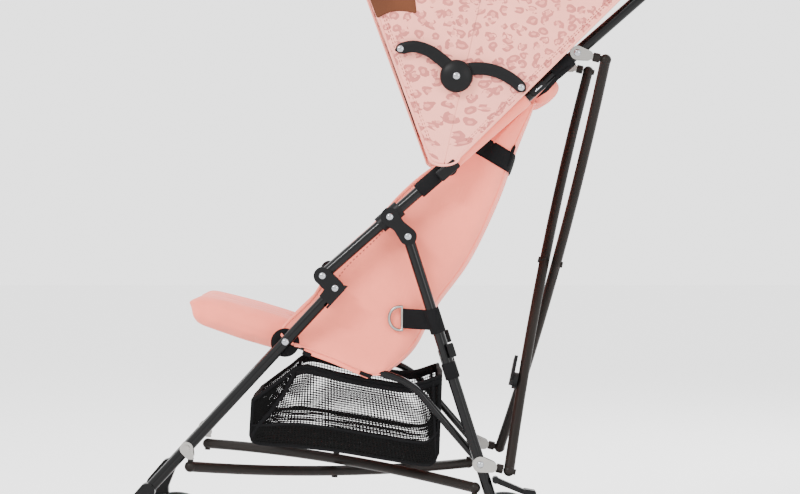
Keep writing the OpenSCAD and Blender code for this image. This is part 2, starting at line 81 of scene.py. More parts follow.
# ---- camera, light and floor ----
def camera():
    data = bpy.data.cameras.new("camera")
    cam = bpy.data.objects.new("camera", data)
    scene.collection.objects.link(cam)
    cam.location = (HALF + 4.09, KNEE[0] + 0.110, KNEE[1] + 0.1145)
    cam.rotation_euler = (math.radians(90), 0, math.radians(90))
    data.lens, data.sensor_width, data.shift_y = 129.6, 36, -0.065  # mm, mm, share of the width
    scene.camera = cam


def light(name, place, size, power):
    data = bpy.data.lights.new(name, "AREA")
    data.shape, data.size, data.size_y, data.energy = "RECTANGLE", *size, power
    lamp = bpy.data.objects.new(name, data)
    lamp.location = place
    lamp.rotation_euler = (Vector((0, 0, 0.5)) - Vector(place)).to_track_quat("-Z", "Y").to_euler()
    scene.collection.objects.link(lamp)


def studio():
    light("key", (3.2, -2.2, 3.2), (1.6, 0.22), 210)
    light("fill", (3.6, 2.6, 1.6), (1.6, 1.6), 60)
    light("back", (-2.5, 1.5, 2.8), (1.8, 1.8), 110)
    world = bpy.data.worlds.new("world")
    world.use_nodes = True
    world.node_tree.nodes["Background"].inputs[0].default_value = (1, 1, 1, 1)
    world.node_tree.nodes["Background"].inputs[1].default_value = 2.5
    scene.world = world
    bpy.ops.mesh.primitive_plane_add(size=30, location=(0, 0, -0.0005))
    floor = bpy.context.object
    floor.name = "floor"
    floor.data.materials.append(material("floor", (0.93, 0.93, 0.93), 0.8, grain=40, depth=0.0, spread=0.0))


# ---- materials ----
class Nodes:
    """Short calls for building one material's node tree."""

    def __init__(self, name, rough, colour):
        self.mat = bpy.data.materials.new(name)
        self.mat.use_nodes = True
        self.tree = self.mat.node_tree
        self.shader = self.tree.nodes["Principled BSDF"]
        self.shader.inputs["Base Color"].default_value = (*colour, 1)
        self.shader.inputs["Roughness"].default_value = rough
        self.coord = self.add("ShaderNodeTexCoord").outputs["Object"]

    def add(self, kind, **values):
        node = self.tree.nodes.new(kind)
        for key, value in values.items():
            setattr(node, key, value)
        return node

    def link(self, a, b):
        self.tree.links.new(a, b)

    def noise(self, scale, detail=4.0, distortion=0.0):
        n = self.add("ShaderNodeTexNoise")
        n.inputs["Scale"].default_value, n.inputs["Detail"].default_value = scale, detail
        n.inputs["Distortion"].default_value = distortion
        self.link(self.coord, n.inputs["Vector"])
        return n.outputs["Fac"]

    def wave(self, scale, axis):
        n = self.add("ShaderNodeTexWave", bands_direction=axis)
        n.inputs["Scale"].default_value = scale
        self.link(self.coord, n.inputs["Vector"])
        return n.outputs["Fac"]

    def math(self, op, a, b):
        n = self.add("ShaderNodeMath", operation=op)
        for socket, value in zip(n.inputs, (a, b)):
            if isinstance(value, (int, float)):
                socket.default_value = value
            else:
                self.link(value, socket)
        return n.outputs[0]

    def ramp(self, fac, stops):
        n = self.add("ShaderNodeValToRGB")
        while len(n.color_ramp.elements) < len(stops):
            n.color_ramp.elements.new(0.5)
        for element, (place, colour) in zip(n.color_ramp.elements, stops):
            element.position, element.color = place, (*colour, 1)
        self.link(fac, n.inputs["Fac"])
        return n.outputs["Color"]

    def bump(self, height, depth, strength=0.5):
        n = self.add("ShaderNodeBump")
        n.inputs["Distance"].default_value, n.inputs["Strength"].default_value = depth, strength
        self.link(height, n.inputs["Height"])
        self.link(n.outputs["Normal"], self.shader.inputs["Normal"])

    def mix(self, fac, a, b):
        n = self.add("ShaderNodeMix", data_type="RGBA")
        self.link(fac, n.inputs[0])
        self.link(a, n.inputs[6])
        self.link(b, n.inputs[7])
        return n.outputs[2]


def shades(colour, spread):
    """A darker and a lighter stop of one colour, for a ramp."""
    dark, bright = (tuple(min(1, c * (1 + change)) for c in colour) for change in (-spread, spread))
    return [(0.3, dark), (0.7, bright)]


def material(name, colour, rough, metal=0.0, coat=0.0, grain=600, depth=0.00008, spread=0.12, shine=0.5):
    """Moulded, painted or plated stuff: shade and roughness vary, over a fine grain."""
    n = Nodes(name, rough, colour)
    n.shader.inputs["Metallic"].default_value = metal
    n.shader.inputs["Coat Weight"].default_value = coat
    n.shader.inputs["Specular IOR Level"].default_value = shine
    n.shader.inputs["Coat Roughness"].default_value = 0.08
    n.link(n.ramp(n.noise(9), shades(colour, spread)), n.shader.inputs["Base Color"])
    n.link(n.math("MULTIPLY_ADD", n.noise(30), 0.16), n.shader.inputs["Roughness"])
    n.shader.inputs["Roughness"].links[0].from_node.inputs[2].default_value = max(0.04, rough - 0.08)
    if depth:
        n.bump(n.noise(grain), depth)
    return n.mat


def weave_height(n, scale):
    """Crossing threads along all three axes, so that a panel that faces any way shows a weave."""
    threads = n.math("ADD", n.wave(scale, "Y"), n.wave(scale, "Z"))
    return n.math("ADD", threads, n.wave(scale, "X"))


def cloth(name, colour, scale=320, spread=0.07, depth=0.00025, sheen=0.2, shine=0.4):
    n = Nodes(name, 0.85, colour)
    n.shader.inputs["Sheen Weight"].default_value = sheen
    n.shader.inputs["Specular IOR Level"].default_value = shine
    n.link(n.ramp(n.noise(14, 6), shades(colour, spread)), n.shader.inputs["Base Color"])
    n.bump(n.math("ADD", weave_height(n, scale), n.math("MULTIPLY", n.noise(28), 4.0)), depth)
    return n.mat


def spots():
    """Broken rings with a darker middle, in dusty rose on pale pink, on the cloth's own flat pattern."""
    pale, rose, fill = (0.80, 0.30, 0.235), (0.44, 0.125, 0.105), (0.64, 0.215, 0.17)
    n = Nodes("canopy_print", 0.85, pale)
    n.shader.inputs["Sheen Weight"].default_value = 0.2
    n.coord = n.add("ShaderNodeTexCoord").outputs["UV"]
    warp = n.add("ShaderNodeTexNoise")
    warp.inputs["Scale"].default_value = 48
    n.link(n.coord, warp.inputs["Vector"])
    bent = n.add("ShaderNodeMix", data_type="VECTOR")
    bent.inputs[0].default_value = 0.017
    n.link(n.coord, bent.inputs[4])
    n.link(warp.outputs["Color"], bent.inputs[5])
    cells = n.add("ShaderNodeTexVoronoi", voronoi_dimensions="2D")
    cells.inputs["Scale"].default_value = 60
    cells.inputs["Randomness"].default_value = 0.62
    n.link(bent.outputs[1], cells.inputs["Vector"])
    d = cells.outputs["Distance"]
    ring = n.math("MULTIPLY", n.math("GREATER_THAN", d, 0.15), n.math("LESS_THAN", d, 0.39))
    broken = n.math("MULTIPLY", ring, n.math("GREATER_THAN", n.noise(85, 2), 0.445))
    inside = n.math("LESS_THAN", d, 0.17)
    base = n.ramp(n.noise(16), shades(pale, 0.05))
    tint = n.mix(inside, base, n.ramp(n.noise(60), shades(fill, 0.06)))
    n.link(n.mix(broken, tint, n.ramp(n.noise(60), shades(rose, 0.08))), n.shader.inputs["Base Color"])
    n.bump(n.math("ADD", weave_height(n, 300), n.math("MULTIPLY", n.noise(22), 3.0)), 0.00025)
    return n.mat


MATS = {
    "gloss_black": material("gloss_black", (0.0022, 0.0022, 0.0024), 0.17, coat=0.0, grain=250,
                            depth=0.00002, shine=0.16),
    "matte_black": material("matte_black", (0.009, 0.007, 0.006), 0.42, grain=700, shine=0.10),
    "black_plastic": material("black_plastic", (0.0045, 0.0045, 0.0048), 0.40, grain=1100, shine=0.10),
    "grip_foam": material("grip_foam", (0.008, 0.008, 0.008), 0.85, grain=900, depth=0.0004, shine=0.15),
    "tyre": material("tyre", (0.010, 0.010, 0.010), 0.75, grain=500, depth=0.0002, shine=0.15),
    "chrome": material("chrome", (0.30, 0.31, 0.33), 0.16, metal=1.0, grain=300, depth=0.00001, spread=0.05),
    "nickel": material("nickel", (0.27, 0.26, 0.245), 0.28, metal=1.0, grain=700, depth=0.00005),
    "red_plastic": material("red_plastic", (0.50, 0.02, 0.03), 0.3, coat=0.4),
    "leather": material("leather", (0.085, 0.026, 0.010), 0.7, grain=420, depth=0.0006, spread=0.22,
                        shine=0.15),
    "canopy_print": spots(),
    "hem": cloth("hem", (0.80, 0.285, 0.22), 400),
    "pink_fabric": cloth("pink_fabric", (0.82, 0.180, 0.118)),
    "thread": cloth("thread", (0.27, 0.05, 0.038), 900, 0.1, 0.0001),
    "mesh": cloth("mesh", (0.0055, 0.0055, 0.0055), 700, sheen=0.0, shine=0.08),
    "webbing": cloth("webbing", (0.006, 0.006, 0.0065), 420, 0.15, 0.0004, 0.0, 0.06),
}


def finish_frame():
    for row in frame["record"]["subparts"]:
        node = frame["nodes"][row["node"]]
        for place in range(max(1, len(node.data.materials))):
            if place < len(node.data.materials):
                node.data.materials[place] = MATS[row["material_slot"]]
            else:
                node.data.materials.append(MATS[row["material_slot"]])


# ---- mesh helpers ----
def piece(name, points, faces, look, smooth=True):
    data = bpy.data.meshes.new(name)
    data.from_pydata([tuple(p) for p in points], [], faces)
    data.update()
    obj = bpy.data.objects.new(name, data)
    scene.collection.objects.link(obj)
    data.materials.append(MATS[look])
    for face in data.polygons:
        face.use_smooth = smooth
    return obj


def sheet_grid(name, rows, look, closed=False, capped=False):
    """A sheet through rows of points, all of one length. Closed rows make a tube, which may have caps."""
    count = len(rows[0])
    faces = []
    for r in range(len(rows) - 1):
        for c in range(count if closed else count - 1):
            d = (c + 1) % count
            faces.append((r * count + c, r * count + d, (r + 1) * count + d, (r + 1) * count + c))
    if capped:
        last = (len(rows) - 1) * count
        faces += [tuple(range(count)), tuple(range(last + count - 1, last - 1, -1))]
    return piece(name, [p for row in rows for p in row], faces, look)


def thicken(obj, depth, levels=1):
    solid = obj.modifiers.new("thick", "SOLIDIFY")
    solid.thickness, solid.offset = depth, 0
    if levels:
        obj.modifiers.new("smooth", "SUBSURF").levels = levels
        obj.modifiers["smooth"].render_levels = levels
    return obj


def apply_all(obj):
    """Turns an object and its modifiers into one plain mesh."""
    bpy.context.view_layer.update()
    depsgraph = bpy.context.evaluated_depsgraph_get()
    data = bpy.data.meshes.new_from_object(obj.evaluated_get(depsgraph))
    obj.modifiers.clear()
    if obj.type == "MESH":
        obj.data = data
        return obj
    name = obj.name
    made = bpy.data.objects.new(name + "_mesh", data)
    scene.collection.objects.link(made)
    bpy.data.objects.remove(obj)
    made.name = name
    return made


def draw_in(obj):
    """Gives a piece its own copy of its mesh."""
    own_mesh(obj)


def soft(obj, body, replaces=()):
    """A soft piece, made one plain mesh and put on a body, in place of any parts it replaces."""
    apply_all(obj)
    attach(obj, body)
    if replaces:
        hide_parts(*replaces)
    draw_in(obj)
    return obj


def spline(knots, count):
    """Points along a smooth curve through the knots."""
    knots = [Vector(k) for k in knots]
    ends = [2 * knots[0] - knots[1], *knots, 2 * knots[-1] - knots[-2]]
    out = []
    for i in range(count):
        f = i * (len(knots) - 1) / (count - 1)
        k = min(int(f), len(knots) - 2)
        t = f - k
        a, b, c, d = ends[k:k + 4]
        out.append(0.5 * (2 * b + (c - a) * t + (2 * a - 5 * b + 4 * c - d) * t * t
                          + (3 * b - a - 3 * c + d) * t ** 3))
    return out


def cordlet(name, points, radius, look, closed=False):
    """Piping, thread, a hoop or a hem: a round line through the points, as a mesh."""
    data = bpy.data.curves.new(name, "CURVE")
    data.dimensions, data.bevel_depth, data.bevel_resolution = "3D", radius, 2
    line = data.splines.new("POLY")
    line.points.add(len(points) - 1)
    for slot, p in zip(line.points, points):
        slot.co = (*p, 1)
    line.use_cyclic_u = closed
    data.materials.append(MATS[look])
    obj = bpy.data.objects.new(name, data)
    scene.collection.objects.link(obj)
    return apply_all(obj)


def stitches(name, points, look, step=0.0045, radius=0.00065):
    """A row of raised threads along a path of close points, joined in one mesh."""
    verts, faces = [], []
    run = 0.0
    for a, b in zip(points, points[1:]):
        a, b = Vector(a), Vector(b)
        run += (b - a).length
        if run < step:
            continue
        run = 0.0
        t = (b - a).normalized()
        side = t.cross(Vector((1, 0, 0)))
        side = side.normalized() if side.length > 0.2 else Vector((0, 1, 0))
        lift = t.cross(side).normalized()
        base = len(verts)
        for end in (-0.34, 0.34):
            for k in range(4):
                turn = k * math.pi / 2
                verts.append(a + t * (end * step) + radius * (side * math.cos(turn) + lift * math.sin(turn)))
        for k in range(4):
            m = (k + 1) % 4
            faces.append((base + k, base + m, base + 4 + m, base + 4 + k))
        faces += [(base + 3, base + 2, base + 1, base), (base + 4, base + 5, base + 6, base + 7)]
    return piece(name, verts, faces, look, smooth=False)


# ---- canopy ----
HOOD_R = 0.385
HOOD_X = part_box("canopy_front_cloth")[1][0] - 0.0016
CORNER = 0.070
FRONT_EDGE, REAR_EDGE = 111.5, 43.5
SPLIT = (FRONT_EDGE + REAR_EDGE) / 2
HOOD_STEPS, HOOD_COUNT = 16, 16
HOOD_CLOTH, HOOD_HEM = 0.0013, 0.0021


def hood_path(count, inset=0.0):
    """(x, radius, run) over the hood, from its left foot across to the right. Run is the length so far."""
    r, x, c = HOOD_R - 0.0014 - inset, HOOD_X - inset, CORNER
    path = [(x, (r - c) * i / 14) for i in range(14)]
    path += [(x - c + c * math.cos(a), r - c + c * math.sin(a)) for a in
             [math.pi / 2 * i / 8 for i in range(9)]]
    half = count // 2
    path += [(x - c - (x - c) * i / half, r) for i in range(1, half + 1)]
    runs, run = [0.0], 0.0
    for (xa, ra), (xb, rb) in zip(path, path[1:]):
        run += math.hypot(xb - xa, rb - ra)
        runs.append(run)
    left = [(px, pr, q) for (px, pr), q in zip(path, runs)]
    return left + [(-px, pr, q) for px, pr, q in reversed(left[:-1])]


def hood_point(degrees, x, r, up=0.0):
    """A point of the hood: its foot is a rounded edge below the pivot, not a point."""
    angle = math.radians(degrees)
    lean = math.pi / 2 * (2 * (degrees - REAR_EDGE) / (FRONT_EDGE - REAR_EDGE) - 1)
    fade = 1 - 0.5 * r / HOOD_R
    foot = HOOD + Vector((-0.008 - 0.021 * math.sin(lean) * fade, 0.015 - 0.011 * math.cos(lean)))
    return Vector((x, *along(foot, angle, r, up)))


def hood_rows(start, end, steps=HOOD_STEPS, inset=0.0, up=0.0):
    rows = []
    for i in range(steps + 1):
        f = i / steps
        slack = math.sin(math.pi * f)
        row = []
        for x, r, _run in hood_path(HOOD_COUNT, inset):
            over = min(1.0, max(0.0, (r - 0.16) / 0.2))
            sag = 0.006 * slack * over + 0.0012 * math.sin(31 * f + 40 * x) * over
            puff = 0.004 * slack * math.sin(math.pi * min(1, r / HOOD_R))
            shifted = x + math.copysign(puff * 0.4, x) if abs(x) > 0.15 else x
            row.append(hood_point(start + (end - start) * f, shifted, r - sag, up))
        rows.append(row)
    return rows


def hood_pattern(obj, start, end, steps):
    """The flat pattern of a hood panel, in metres: the fan of its side, carried on over the top."""
    places = [run for _x, _r, run in hood_path(HOOD_COUNT)]
    layer = obj.data.uv_layers.new(name="pattern")
    count = len(places)
    for loop in obj.data.loops:
        row, k = divmod(loop.vertex_index, count)
        angle = math.radians(start + (end - start) * row / steps)
        reach = places[k] * (1 if k <= count // 2 else 1.02)
        layer.data[loop.index].uv = (math.cos(angle) * reach, math.sin(angle) * reach)


def canopy():
    for name, node, body, start, end in (
        ("canopy_front", "canopy_front_cloth", "canopy_front", SPLIT - 0.1, FRONT_EDGE),
        ("canopy_rear", "canopy_rear_cloth", "left_upper", REAR_EDGE, SPLIT + 0.1),
    ):
        rows = hood_rows(start, end)
        sheet = sheet_grid(name, rows, "canopy_print")
        hood_pattern(sheet, start, end, HOOD_STEPS)
        soft(thicken(sheet, HOOD_CLOTH), body, (node,))
        at_front = body == "canopy_front"
        edge_row, edge_angle = (rows[-1], end) if at_front else (rows[0], start)
        hem = cordlet(name + "_hem", edge_row, HOOD_HEM, "hem")
        seams = []
        for number, offset in enumerate((0.0072, 0.0102)):
            inward = -offset if at_front else offset
            row = hood_rows(edge_angle, edge_angle, 1, -0.0009, inward)[0]
            dense = [a.lerp(b, t / 8) for a, b in zip(row[1:-1], row[2:]) for t in range(8)]
            seams.append(stitches(f"{name}_stitch_{number}", dense, "thread"))
        for side, sx in (("left", 1), ("right", -1)):
            foot = [hood_point(start + (end - start) * i / 12, sx * HOOD_X, 0.0) for i in range(13)]
            seams.append(cordlet(f"{name}_foot_{side}", foot, HOOD_HEM, "hem"))
        for extra in (hem, *seams):
            soft(extra, body)
    leather_patch()


def leather_patch():
    """A plain patch on the hood's left side, across the front edge, with a curved lower end."""
    low_end, height, turn = 0.211, 0.048, 15.0
    rows = [[hood_point(FRONT_EDGE + 0.6 - turn * i / 8, HOOD_X + 0.0026,
                        low_end + 0.006 * math.sin(math.pi * i / 8) + height * k / 8)
             for k in range(9)] for i in range(9)]
    soft(thicken(sheet_grid("leather_patch", rows, "leather"), 0.0022), "canopy_front")


def bow():
    """The flexible strip inside the hood's front edge, with a disc at each side's pivot."""
    middle, half_angle, outside, inside = FRONT_EDGE - 1.7, 0.8, 0.0026, 0.0048
    rows = []
    for (xo, ro, _), (xi, ri, _) in zip(hood_path(64, outside), hood_path(64, inside)):
        rows.append([hood_point(middle + half_angle, xo, ro), hood_point(middle - half_angle, xo, ro),
                     hood_point(middle - half_angle, xi, ri), hood_point(middle + half_angle, xi, ri)])
    strip = sheet_grid("canopy_bow_strip", rows, "black_plastic", closed=True)
    soft(strip, "canopy_front", ("canopy_bow",))
    for side, sx in (("left", 1), ("right", -1)):
        draw_in(dome(f"canopy_bow_disc_{side}", (sx * 0.2015, *HOOD), 0.011, 0.002, "black_plastic",
                     "canopy_front", sx))


def arm(name, knots, body, x):
    """One curved arm of a canopy spreader: a rounded bar that swells towards the hub."""
    sx = 1 if x > 0 else -1
    rows = []
    line = spline([(x, *(HOOD + Vector(k))) for k in knots], 26)
    for i, p in enumerate(line):
        a, b = line[max(0, i - 1)], line[min(len(line) - 1, i + 1)]
        across = (b - a).normalized().cross(Vector((1, 0, 0)))
        end = min(1.0, math.sqrt(max(0.0, 1 - (1 - min(i, 3) / 3) ** 2)) + 0.05)
        wide = (0.0082 + 0.0014 * i / len(line)) * end
        rows.append([p + across * wide * math.cos(t) + Vector((sx * 0.0030 * math.sin(t), 0, 0))
                     for t in [2 * math.pi * k / 20 for k in range(20)]])
    obj = sheet_grid(name, rows, "black_plastic", closed=True, capped=True)
    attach(obj, body)
    return obj


def dome(name, centre, radius, height, look, body, sx):
    """A domed cap that faces out to one side."""
    rows = []
    for i in range(9):
        t = math.pi / 2 * i / 8
        r = max(0.0002, radius * math.cos(t))
        x = centre[0] + sx * height * math.sin(t)
        rows.append([Vector((x, centre[1] + r * math.cos(a), centre[2] + r * math.sin(a)))
                     for a in [2 * math.pi * k / 32 for k in range(32)]])
    rows.insert(0, [Vector((p.x - sx * 0.003, p.y, p.z)) for p in rows[0]])
    obj = sheet_grid(name, rows, look, closed=True)
    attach(obj, body)
    return obj


SPREAD_FRONT, SPREAD_HUB, SPREAD_REAR = (-0.0696, 0.1681), (0.0093, 0.1297), (0.1007, 0.1138)
FRONT_ARM = [(-0.0775, 0.1662), (-0.052, 0.1715), (-0.030, 0.1655), (-0.012, 0.1530), (0.003, 0.1390),
             SPREAD_HUB]
REAR_ARM = [(0.1067, 0.1082), (0.090, 0.1235), (0.071, 0.1345), (0.050, 0.1400), (0.028, 0.1395),
            (0.013, 0.1330)]


def spreaders():
    """Two arms on each side. The right front one's body stays with the left side."""
    for side, sx in (("left", 1), ("right", -1)):
        x_rear, x_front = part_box(f"{side}_spreader_rear"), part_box(f"{side}_spreader_front")
        inner = sx * (max(abs(x_rear[0][0]), abs(x_rear[1][0])) - 0.006)
        outer = sx * (max(abs(x_front[0][0]), abs(x_front[1][0])) - 0.010)
        front_body, rear_body = f"{side}_spreader_front_arm", f"{side}_spreader_rear_arm"
        front = arm(front_body, FRONT_ARM, front_body, outer)
        rear = arm(rear_body, REAR_ARM, rear_body, inner)
        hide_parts(f"{side}_spreader_front")
        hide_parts(f"{side}_spreader_rear")
        hub = HOOD + Vector(SPREAD_HUB)
        outer_pieces = [
            front,
            dome(f"{side}_spreader_hub", (outer, *hub), 0.0232, 0.0085, "black_plastic", front_body, sx),
            dome(f"{side}_hub_rivet", (outer + sx * 0.0078, *hub), 0.0052, 0.0022, "chrome", front_body, sx)]
        for end, at, x in (("front", SPREAD_FRONT, outer), ("rear", SPREAD_REAR, inner)):
            place = (x + sx * 0.0028, *(HOOD + Vector(at)))
            rivet = dome(f"{side}_spreader_{end}_rivet", place, 0.0050, 0.0026, "chrome",
                         f"{side}_spreader_{end}_arm", sx)
            if end == "front":
                outer_pieces.append(rivet)
        if side == "right":
            for obj in outer_pieces:
                draw_in(obj)


# ---- seat: one hammock of cloth, slung between the frame tubes ----
SEAT_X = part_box("seat_back")[1][0] + 0.002
BACK_KNOTS = [KNEE + Vector(p) for p in (
    (-0.030, -0.101), (0.022, -0.121), (0.072, -0.143), (0.102, -0.131), (0.132, -0.101),
    (0.160, -0.046), (0.208, 0.020), (0.250, 0.108), (0.275, 0.178), (0.302, 0.246))]
TOP_KNOTS = [KNEE + Vector(p) for p in ((-0.042, -0.098), (-0.058, -0.078), (-0.013, -0.030))] + [
    at_push(0.03, 0.004), at_push(0.10, 0.006), at_push(0.16, 0.013), at_push(0.215, 0.012),
    at_push(0.30, -0.002), at_push(0.385, -0.012)]
STATIONS = 44


def seat_section(front, rear, x, corner=0.030, crown=0.006):
    """One cross section, from the left tube down the side panel, across the back and up."""
    depth = (rear - front).length
    corner = min(corner, depth * 0.6 + 0.002)
    toward = (rear - front).normalized() if depth > 1e-6 else Vector((0, -1))
    side = [(x - 0.004 * math.sin(math.pi * i / 7), (depth - corner) * i / 8) for i in range(8)]
    bend = [(x - corner + corner * math.cos(a), depth - corner + corner * math.sin(a))
            for a in [math.pi / 2 * i / 6 for i in range(7)]]
    across = [((x - corner) * (1 - i / 8), depth + crown * math.sin(math.pi / 2 * i / 8))
              for i in range(1, 9)]
    half = side + bend + across
    full = half + [(-px, d) for px, d in reversed(half[:-1])]
    return [Vector((px, *(front + toward * d))) for px, d in full]


def seat_rows(x, count=STATIONS):
    tops, backs = (spline([(0, *p) for p in knots], count) for knots in (TOP_KNOTS, BACK_KNOTS))
    rows = []
    under = Vector((0.135, -0.0494))  # the stretch of the seat rail that the panel covers
    for i, (top, back) in enumerate(zip(tops, backs)):
        corner = 0.011 + 0.019 * min(1.0, max(0.0, (i - 10) / 8))
        row = seat_section(Vector((top.y, top.z)), Vector((back.y, back.z)), x, corner)
        for p in row:
            # The side panel passes outside the seat rail, so it swells over it
            at_side = Vector((p.y, p.z)) - RAIL
            share = min(1.0, max(0.0, at_side.dot(under) / under.length_squared))
            gap = (at_side - under * share).length
            if abs(p.x) > 0.11:
                swell = (0.0152 + 0.004 * max(0.0, 1 - 5 * share)) * math.exp(-(gap / 0.028) ** 2)
                p.x += math.copysign(swell, p.x)
        if 6 < i < count - 3:
            # Soft pulls in the cloth, which run up from the low point and fade at the edges
            for k, p in enumerate(row):
                fade = math.sin(math.pi * min(k, len(row) - 1 - k) / (len(row) / 2))
                p.x += math.copysign(0.0022 * fade * math.sin(0.9 * i + 0.55 * k), p.x)
        rows.append(row)
    return rows


def seat():
    rows = seat_rows(SEAT_X)
    sheet = thicken(sheet_grid("seat_hammock", rows, "pink_fabric"), 0.0022)
    soft(sheet, "left_upper", ("seat_back",))
    extras = []
    for side, k in (("left", 0), ("right", -1)):
        edge = [row[k] for row in rows]
        extras.append(cordlet(f"seat_piping_{side}", edge, 0.0024, "pink_fabric"))
    out = Vector((0.0016, 0, 0))
    for side, sign, k in (("left", 1, 12), ("right", -1, -13)):
        path = [row[k] + sign * out for row in rows[2:]]
        dense = [a.lerp(b, t / 4) for a, b in zip(path, path[1:]) for t in range(4)]
        extras.append(cordlet(f"seat_seam_{side}", dense, 0.0013, "pink_fabric"))
        near = [row[1 if k > 0 else -2] + sign * out for row in rows[4:]]
        dense = [a.lerp(b, t / 4) for a, b in zip(near, near[1:]) for t in range(4)]
        extras.append(stitches(f"seat_stitch_{side}", dense, "thread"))
    for side, sx in (("left", 1), ("right", -1)):
        line = spline([(sx * x_low, *(KNEE + Vector(p))) for x_low, p in
                       ((SEAT_X + 0.0130, (-0.027, -0.103)), (SEAT_X + 0.0135, (0.020, -0.1205)),
                        (SEAT_X + 0.0125, (0.066, -0.141)))], 16)
        drop = Vector((0, -0.001, -0.0075))
        hem_rows = [line, [p + drop * 0.5 for p in line], [p + drop for p in line]]
        extras.append(thicken(sheet_grid(f"seat_lower_hem_{side}", hem_rows, "pink_fabric"), 0.0018))
        for number, (place, wide) in enumerate((((-0.023, -0.112), 0.013), ((0.061, -0.1415), 0.018))):
            tab = block(f"seat_tab_{side}_{number}", (sx * (SEAT_X + 0.0135), *(KNEE + Vector(place))),
                        (0.004, wide, 0.0062), "webbing", "left_upper", math.radians(-22),
                        0.0008)
            extras.append(tab)
    extras.append(cordlet("seat_hem_top", rows[-1], 0.0026, "pink_fabric"))
    extras.append(cordlet("seat_hem_front", rows[0], 0.0030, "pink_fabric"))
    for extra in extras:
        soft(extra, "left_upper")


# ---- padded pieces ----
def slab(name, outline, half_x, look, rounding=0.006):
    """A closed pad with the side view given by the outline, and rounded edges."""
    count = len(outline)
    points = [Vector((sx * half_x, *p)) for sx in (1, -1) for p in outline]
    faces = [tuple(range(count))[::-1], tuple(range(count, 2 * count))]
    faces += [(i, (i + 1) % count, count + (i + 1) % count, count + i) for i in range(count)]
    obj = piece(name, points, faces, look)
    edge = obj.modifiers.new("round", "BEVEL")
    edge.width, edge.segments = rounding, 3
    return apply_all(obj)


def puff(obj, cap, pressure=4.0):
    """Fills a pad with a short pressure simulation, and caps how far any point may move."""
    remesh = obj.modifiers.new("voxels", "REMESH")
    remesh.mode, remesh.voxel_size, remesh.use_smooth_shade = "VOXEL", 0.006, True
    apply_all(obj)
    rest = [v.co.copy() for v in obj.data.vertices]
    cloth_mod = obj.modifiers.new("cloth", "CLOTH")
    cloth_mod.settings.use_pressure = True
    cloth_mod.settings.uniform_pressure_force = pressure
    cloth_mod.settings.effector_weights.gravity = 0
    scene.frame_start, scene.frame_end = 1, 20
    for step in range(1, 21):
        scene.frame_set(step)
    apply_all(obj)
    for v, start in zip(obj.data.vertices, rest):
        move = v.co - start
        if move.length > cap:
            v.co = start + move * (cap / move.length)
    scene.frame_set(1)
    return obj


def channels(obj, along_axis, places, width, depth):
    """Presses sewn channels into a pad: each is a groove across the given axis."""
    for v in obj.data.vertices:
        pull = sum(math.exp(-(((v.co[along_axis] - p) / width) ** 2)) for p in places)
        v.co -= v.normal * depth * min(1.0, pull)
    sub = obj.modifiers.new("smooth", "SUBSURF")
    sub.levels = sub.render_levels = 1
    return apply_all(obj)


def seat_pad():
    nose = KNEE + Vector((-0.022, -0.103))
    outline = [nose, nose + Vector((0.050, -0.018)), nose + Vector((0.100, -0.036)),
               nose + Vector((0.106, -0.020)), nose + Vector((0.054, -0.002)), nose + Vector((0.003, 0.014))]
    pad = puff(slab("seat_pad", outline, 0.140, "pink_fabric", 0.005), 0.005)
    channels(pad, 0, (-0.07, 0.0, 0.07), 0.005, 0.003)
    soft(pad, "left_rail", ("seat_base",))


def leg_rest():
    root = KNEE + Vector((-0.036, -0.102))
    angle = math.radians(163)
    outline = [along(root, angle, run, up) for run, up in
               ((0.002, 0.009), (0.08, 0.010), (0.154, 0.007), (0.165, 0.002), (0.158, -0.006),
                (0.174, -0.013), (0.163, -0.022), (0.08, -0.026), (0.004, -0.026))]
    pad = puff(slab("leg_rest_pad", outline, 0.138, "pink_fabric", 0.004), 0.007)
    channels(pad, 0, (-0.09, -0.03, 0.03, 0.09), 0.006, 0.005)
    soft(pad, "left_front", ("leg_rest",))


# ---- basket: open mesh panels with bound edges ----
BASKET_TOP = [KNEE + Vector(p) for p in (
    (-0.101, -0.180), (-0.060, -0.150), (-0.029, -0.131), (0.022, -0.142), (0.074, -0.152), (0.124, -0.158),
    (0.168, -0.146))]
BASKET_LOW = [KNEE + Vector(p) for p in (
    (-0.104, -0.230), (-0.094, -0.241), (-0.034, -0.246), (0.026, -0.253), (0.092, -0.264), (0.150, -0.272),
    (0.164, -0.256))]
BASKET_COLUMNS, BASKET_STEPS = 76, 32
RIM_DIP = 21  # the column where the rim reaches its seam, behind the front corner


def net(name, rows, thread=0.0017):
    obj = sheet_grid(name, rows, "mesh")
    wire = obj.modifiers.new("threads", "WIREFRAME")
    wire.thickness, wire.use_even_offset, wire.use_replace = thread, False, True
    return obj


def basket_rows(x, count=BASKET_STEPS, belly=0.006, share=(0.0, 1.0)):
    """Rows of a side panel from its rim down, which belly outwards at the middle."""
    top = spline([(x, *p) for p in BASKET_TOP], BASKET_COLUMNS)
    low = spline([(x, *p) for p in BASKET_LOW], BASKET_COLUMNS)
    rows = []
    for i in range(count + 1):
        v = share[0] + (share[1] - share[0]) * i / count
        rows.append([a.lerp(b, v) + Vector((math.copysign(belly, x) * math.sin(math.pi * v)
                                            * math.sin(math.pi * k / (BASKET_COLUMNS - 1)), 0, 0))
                     for k, (a, b) in enumerate(zip(top, low))])
    return rows


def across_rows(line, x, sag, cell=0.0062):
    """Rows from left to right behind a side view line, which sag between the sides."""
    count = int(2 * x / cell)
    rows = []
    for p in line:
        rows.append([Vector((x - 2 * x * k / count, p.y, p.z)) + sag * math.sin(math.pi * k / count)
                     for k in range(count + 1)])
    return rows


